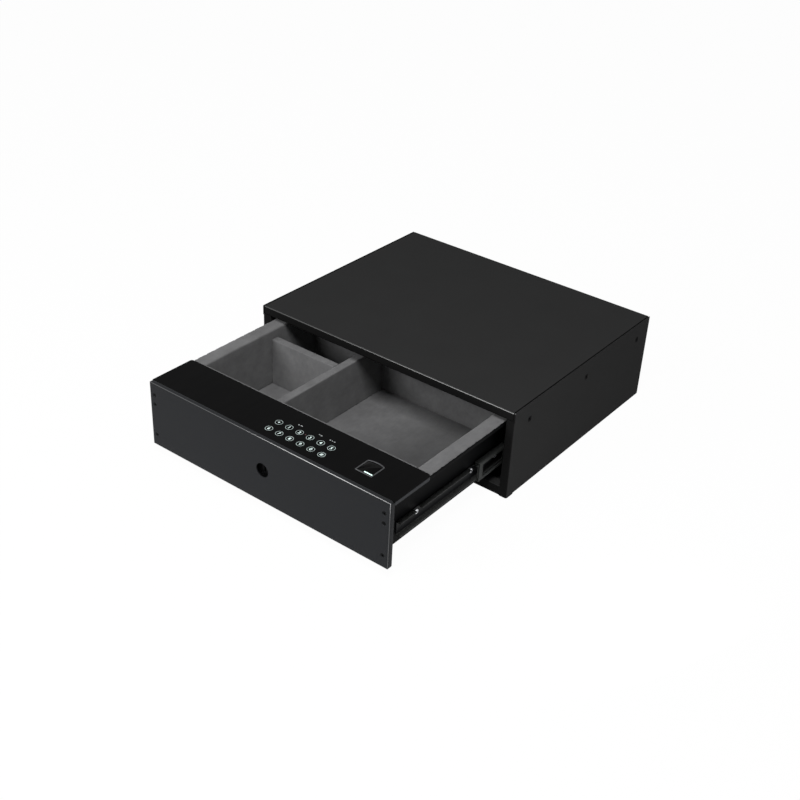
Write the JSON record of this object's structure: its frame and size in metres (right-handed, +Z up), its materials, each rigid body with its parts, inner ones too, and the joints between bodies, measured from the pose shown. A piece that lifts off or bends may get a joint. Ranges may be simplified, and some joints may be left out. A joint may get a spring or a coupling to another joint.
{
  "type": "under desk drawer safe",
  "caption": "Flat steel safe with a felt lined drawer on ball slides, opened by touch keys, a fingerprint reader or a key, for mounting under a desk or on a shelf.",
  "frame": {"origin": "centre of the underside of the steel case", "axes": "+X to the right seen from the front, +Y from the drawer's front to the back of the case, +Z up; the drawer stands 213.5 mm open at rest"},
  "size_m": [0.4, 0.5405, 0.1215],
  "materials": {
    "satin_black": "satin powder coat",
    "touch_gloss": "gloss",
    "sensor_glass": "gloss",
    "grey_felt": "short felt",
    "slide_steel": "black plated",
    "zinc_steel": "bright zinc",
    "reader_trim": "satin chrome",
    "lock_body": "black",
    "motor_body": "satin",
    "black_screws": "black oxide",
    "circuit": "solder mask",
    "light_guide": "frosted",
    "black_plastic": "moulded",
    "cell_sleeve": "printed sleeve"
  },
  "bodies": {
    "case": {"case_body": "satin_black", "case_back": "satin_black", "top_cover": "satin_black", "strike_bracket": "zinc_steel", "cover_screw_left_1": "black_screws", "cover_screw_left_2": "black_screws", "cover_screw_left_3": "black_screws", "cover_screw_right_1": "black_screws", "cover_screw_right_2": "black_screws", "cover_screw_right_3": "black_screws", "slide_bracket_left": "satin_black", "slide_bracket_right": "satin_black", "slide_outer_left": "slide_steel", "slide_outer_right": "slide_steel"},
    "drawer": {"tray_shell": "satin_black", "bulkhead": "satin_black", "liner_floor": "grey_felt", "liner_front": "grey_felt", "liner_back": "grey_felt", "liner_left": "grey_felt", "liner_right": "grey_felt", "long_divider": "grey_felt", "cross_divider": "grey_felt", "front_panel": "satin_black", "deck_frame": "satin_black", "touch_panel": "touch_gloss", "key_light_guide": "light_guide", "control_board": "circuit", "fingerprint_bezel": "reader_trim", "fingerprint_sensor": "sensor_glass", "lock_cylinder": "lock_body", "lock_chassis": "zinc_steel", "bolt_motor": "motor_body", "battery_holder": "black_plastic", "cell_1": "cell_sleeve", "cell_2": "cell_sleeve", "cell_3": "cell_sleeve", "cell_4": "cell_sleeve", "slide_inner_left": "slide_steel", "slide_inner_right": "slide_steel", "slide_screw_left_1": "zinc_steel", "slide_screw_left_2": "zinc_steel", "slide_screw_left_3": "zinc_steel", "slide_screw_right_1": "zinc_steel", "slide_screw_right_2": "zinc_steel", "slide_screw_right_3": "zinc_steel"},
    "bolt": {"lock_bolt": "zinc_steel"},
    "key_plug": {"lock_plug": "zinc_steel", "lock_cam": "zinc_steel"},
    "bolt_crank": {"motor_crank": "zinc_steel"},
    "bay_door": {"battery_door": "black_plastic"},
    "middle_slide_left": {"slide_middle_left": "slide_steel"},
    "outer_cage_left": {"ball_cage_outer_left": "zinc_steel"},
    "inner_cage_left": {"ball_cage_inner_left": "zinc_steel"},
    "middle_slide_right": {"slide_middle_right": "slide_steel"},
    "outer_cage_right": {"ball_cage_outer_right": "zinc_steel"},
    "inner_cage_right": {"ball_cage_inner_right": "zinc_steel"}
  },
  "joints": [
    {"name": "drawer_slide", "type": "slide", "parent": "case", "child": "drawer", "axis": [0, -1, 0], "range_m": [-0.2135, 0.0365]},
    {"name": "middle_slide_left_run", "type": "slide", "parent": "case", "child": "middle_slide_left", "axis": [0, -1, 0], "range_m": [-0.06491, 0.0111]},
    {"name": "outer_cage_left_run", "type": "slide", "parent": "case", "child": "outer_cage_left", "axis": [0, -1, 0], "range_m": [-0.03245, 0.00555]},
    {"name": "inner_cage_left_run", "type": "slide", "parent": "case", "child": "inner_cage_left", "axis": [0, -1, 0], "range_m": [-0.1392, 0.0238]},
    {"name": "middle_slide_right_run", "type": "slide", "parent": "case", "child": "middle_slide_right", "axis": [0, -1, 0], "range_m": [-0.06491, 0.0111]},
    {"name": "outer_cage_right_run", "type": "slide", "parent": "case", "child": "outer_cage_right", "axis": [0, -1, 0], "range_m": [-0.03245, 0.00555]},
    {"name": "inner_cage_right_run", "type": "slide", "parent": "case", "child": "inner_cage_right", "axis": [0, -1, 0], "range_m": [-0.1392, 0.0238]},
    {"name": "bolt_throw", "type": "slide", "parent": "drawer", "child": "bolt", "axis": [0, 0, -1], "range_m": [0, 0.012]},
    {"name": "key_turn", "type": "hinge", "parent": "drawer", "child": "key_plug", "pos_m": [0, -0.347, 0.061], "axis": [0, 1, 0], "range_deg": [0, 90.1]},
    {"name": "motor_turn", "type": "hinge", "parent": "drawer", "child": "bolt_crank", "pos_m": [-0.03, -0.347, 0.061], "axis": [0, 1, 0], "range_deg": [0, 90.1]},
    {"name": "battery_door_swing", "type": "hinge", "parent": "drawer", "child": "bay_door", "pos_m": [0.089, -0.3041, 0.0599], "axis": [1, 0, 0], "range_deg": [0, 90]}
  ],
  "couplings": [
    {"joint": "middle_slide_left_run", "follows": "drawer_slide", "ratio": 0.304},
    {"joint": "outer_cage_left_run", "follows": "drawer_slide", "ratio": 0.152},
    {"joint": "inner_cage_left_run", "follows": "drawer_slide", "ratio": 0.652},
    {"joint": "middle_slide_right_run", "follows": "drawer_slide", "ratio": 0.304},
    {"joint": "outer_cage_right_run", "follows": "drawer_slide", "ratio": 0.152},
    {"joint": "inner_cage_right_run", "follows": "drawer_slide", "ratio": 0.652},
    {"joint": "key_turn", "follows": "bolt_throw", "rad_per_m": 130.9},
    {"joint": "motor_turn", "follows": "bolt_throw", "rad_per_m": 130.9}
  ]
}
